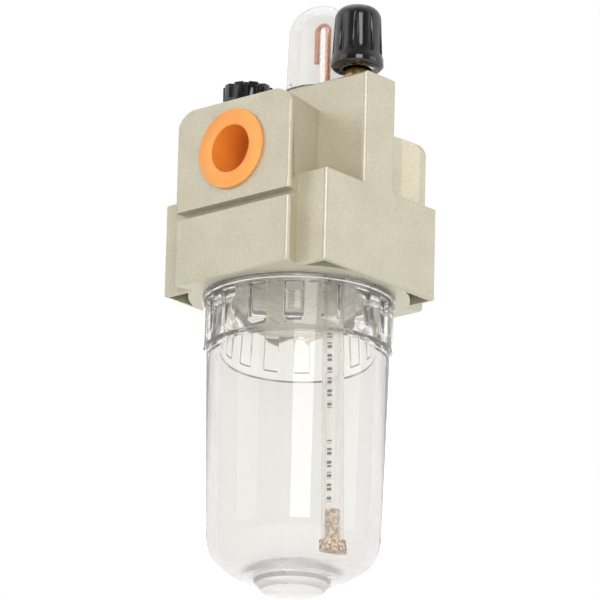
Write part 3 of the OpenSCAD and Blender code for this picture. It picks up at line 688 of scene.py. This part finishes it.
smallPieces = {
    # node: piece name, body, slot, edge in mm
    "inlet_dust_plug": ("dustPlug", "dust_plug", "orange_polyethylene", 0.22),
    "adjusting_knob": ("needleKnob", "needle", "black_plastic", 0.12),
    "fill_plug": ("fillPlug", "plug", "black_plastic", 0.16),
    "needle_bush": ("needleBush", "housing", "turned_brass", 0.12),
    "oil_nipple": ("oilNipple", "housing", "turned_brass", 0.12),
    "air_valve_body": ("airValve", "housing", "turned_brass", 0.12),
}
# the reach of the plug's cup, whose inside is painted darker as painted shade
plugCup = {"radius": 4.65, "lip": -40.6}
sharpAngle = 30
for nodeName, (pieceName, body, slotName, edge) in smallPieces.items():
    piece = copyNode(nodeName, pieceName)
    pickOpenEdges(piece, sharpAngle)
    bevelPicked(edge, 2)
    endEdit()
    smoothOver(piece, smoothAngle)
    settle(piece, body, nodeName, finishes[slotName])
dustPlug = bpy.data.objects["dustPlug"]  # its cup is painted a deeper orange inside: painted shade in the recess
dustPlug.data.materials.append(orangePlastic("cupShadeOrange", (0.72, 0.21, 0.026), (0.77, 0.24, 0.034)))
for face in dustPlug.data.polygons:
    spot = face.center / mm
    face.material_index = int(spot.yz.length < plugCup["radius"] and spot.x > plugCup["lip"])
print("small pieces rounded:", len(smallPieces))


# pieces kept from the frame

slotOf = {part["node"]: part["material_slot"] for part in frame["record"]["subparts"]}
made = {"body", "bowl", "sight_dome", *smallPieces}
for nodeName, node in frame["nodes"].items():
    if nodeName not in made:
        for socket in node.material_slots:
            socket.material = finishes[slotOf[nodeName]]
print("frame pieces kept:", len(frame["nodes"]) - len(made))


# studio

studio = {
    "eye": (-0.83282, -0.70412, -0.36394), "right": (0.6488, -0.7606, 0.0236),
    "up": (-0.2437, -0.1783, 0.9533), "sensor": 36, "lens": 360,
    "aim": (-0.02, 0, -0.025), "floor": -0.62, "floorGlow": 0.72, "fill": 0.42, "dim": 0.12,
}
right = Vector(studio["right"]).normalized()
up = Vector(studio["up"]).normalized()
back = right.cross(up)
bpy.ops.object.select_all(action="DESELECT")
bpy.ops.object.camera_add(location=studio["eye"])
camera = bpy.context.object
camera.name = "photoCamera"
camera.data.sensor_width = studio["sensor"]
camera.data.lens = studio["lens"]
camera.matrix_world = Matrix((
    (right.x, up.x, back.x, studio["eye"][0]),
    (right.y, up.y, back.y, studio["eye"][1]),
    (right.z, up.z, back.z, studio["eye"][2]),
    (0, 0, 0, 1)))
bpy.context.scene.camera = camera

lamps = {
    # name: place, size, watts, seen in gloss
    "frontBox": ((-0.72, -0.80, 0.30), 0.5, 3.5, True),
    "eyeBox": ((-0.86, -0.76, -0.25), 0.5, 5.6, False),
    "leftBox": ((-1.0, 0.4, 0.35), 0.6, 0.9, True),
    "rightBox": ((0.35, -1.0, 0.15), 0.6, 1.3, True),
    "topBox": ((0.1, 0.2, 1.0), 0.8, 1.4, True),
    "backBox": ((0.8, 0.8, 0.1), 0.7, 3.0, True),
    "lowBox": ((-0.3, -0.25, -0.57), 0.5, 0.6, False),
}
for lampName, (place, size, watts, inGloss) in lamps.items():
    bpy.ops.object.light_add(type="AREA", location=place)
    lamp = bpy.context.object
    lamp.name = lampName
    lamp.data.size = size
    lamp.data.energy = watts
    lamp.visible_transmission = False
    lamp.visible_glossy = inGloss
    aim = Vector(studio["aim"]) - Vector(place)
    lamp.rotation_euler = aim.to_track_quat("-Z", "Y").to_euler()


def palePaper():
    material, tree, shader, place = newMaterial("palePaper")
    grain = addGrain(tree, place, 260, 3)
    setTone(tree, shader, grain.outputs["Tone"], (0.86, 0.86, 0.85), (0.9, 0.9, 0.89))
    shader.inputs["Roughness"].default_value = 0.8
    rays = tree.nodes.new("ShaderNodeLightPath")
    shine = tree.nodes.new("ShaderNodeMath")  # glass and metal see white paper
    shine.operation = "MAXIMUM"
    tree.links.new(rays.outputs["Is Glossy Ray"], shine.inputs[0])
    tree.links.new(rays.outputs["Is Transmission Ray"], shine.inputs[1])
    pale = tree.nodes.new("ShaderNodeMath")  # the camera sees it pale, with the shadow on it
    pale.operation = "MULTIPLY_ADD"
    pale.inputs[1].default_value = studio["floorGlow"]
    tree.links.new(rays.outputs["Is Camera Ray"], pale.inputs[0])
    tree.links.new(shine.outputs[0], pale.inputs[2])
    glow = tree.nodes.new("ShaderNodeEmission")
    lit = tree.nodes.new("ShaderNodeMixShader")
    tree.links.new(pale.outputs[0], lit.inputs["Fac"])
    tree.links.new(shader.outputs["BSDF"], lit.inputs[1])
    tree.links.new(glow.outputs["Emission"], lit.inputs[2])
    side = tree.nodes.new("ShaderNodeNewGeometry")
    clear = tree.nodes.new("ShaderNodeBsdfTransparent")
    whole = tree.nodes.new("ShaderNodeMixShader")  # nothing is hidden from below
    tree.links.new(side.outputs["Backfacing"], whole.inputs["Fac"])
    tree.links.new(lit.outputs["Shader"], whole.inputs[1])
    tree.links.new(clear.outputs["BSDF"], whole.inputs[2])
    tree.links.new(whole.outputs["Shader"], tree.nodes["Material Output"].inputs["Surface"])
    return material


bpy.ops.mesh.primitive_plane_add(size=6, location=(0, 0, 0))
floor = bpy.context.object
floor.name = "studioFloor"
startEdit(floor)
bpy.ops.mesh.subdivide(number_cuts=3)
bpy.ops.transform.translate(value=(0, 0, studio["floor"]))
endEdit()
floor.data.materials.append(palePaper())


def whiteRoom():
    # white to the camera and through glass, dimmer in gloss on the camera's side
    world = bpy.data.worlds.new("whiteStudio")
    world.use_nodes = True
    tree = world.node_tree
    rays = tree.nodes.new("ShaderNodeLightPath")
    way = tree.nodes.new("ShaderNodeTexCoord")
    facing = tree.nodes.new("ShaderNodeVectorMath")
    facing.operation = "DOT_PRODUCT"
    facing.inputs[1].default_value = back
    tree.links.new(way.outputs["Generated"], facing.inputs[0])
    room = tree.nodes.new("ShaderNodeMapRange")
    room.interpolation_type = "SMOOTHSTEP"
    for socket, value in (("From Min", -0.2), ("From Max", 0.7), ("To Min", 1.0), ("To Max", studio["dim"])):
        room.inputs[socket].default_value = value
    tree.links.new(facing.outputs["Value"], room.inputs["Value"])

    def pickBy(rayKind):
        node = tree.nodes.new("ShaderNodeMix")
        node.inputs["B"].default_value = 1.0
        tree.links.new(rays.outputs[rayKind], node.inputs["Factor"])
        return node

    gloss = pickBy("Is Glossy Ray")
    around = pickBy("Is Transmission Ray")
    level = pickBy("Is Camera Ray")
    gloss.inputs["A"].default_value = studio["fill"]
    tree.links.new(room.outputs["Result"], gloss.inputs["B"])
    tree.links.new(gloss.outputs["Result"], around.inputs["A"])
    tree.links.new(around.outputs["Result"], level.inputs["A"])
    tree.nodes["Background"].inputs["Color"].default_value = (1, 1, 1, 1)
    tree.links.new(level.outputs["Result"], tree.nodes["Background"].inputs["Strength"])
    return world


bpy.context.scene.world = whiteRoom()
bpy.context.scene.view_settings.view_transform = "Standard"
print("studio set")
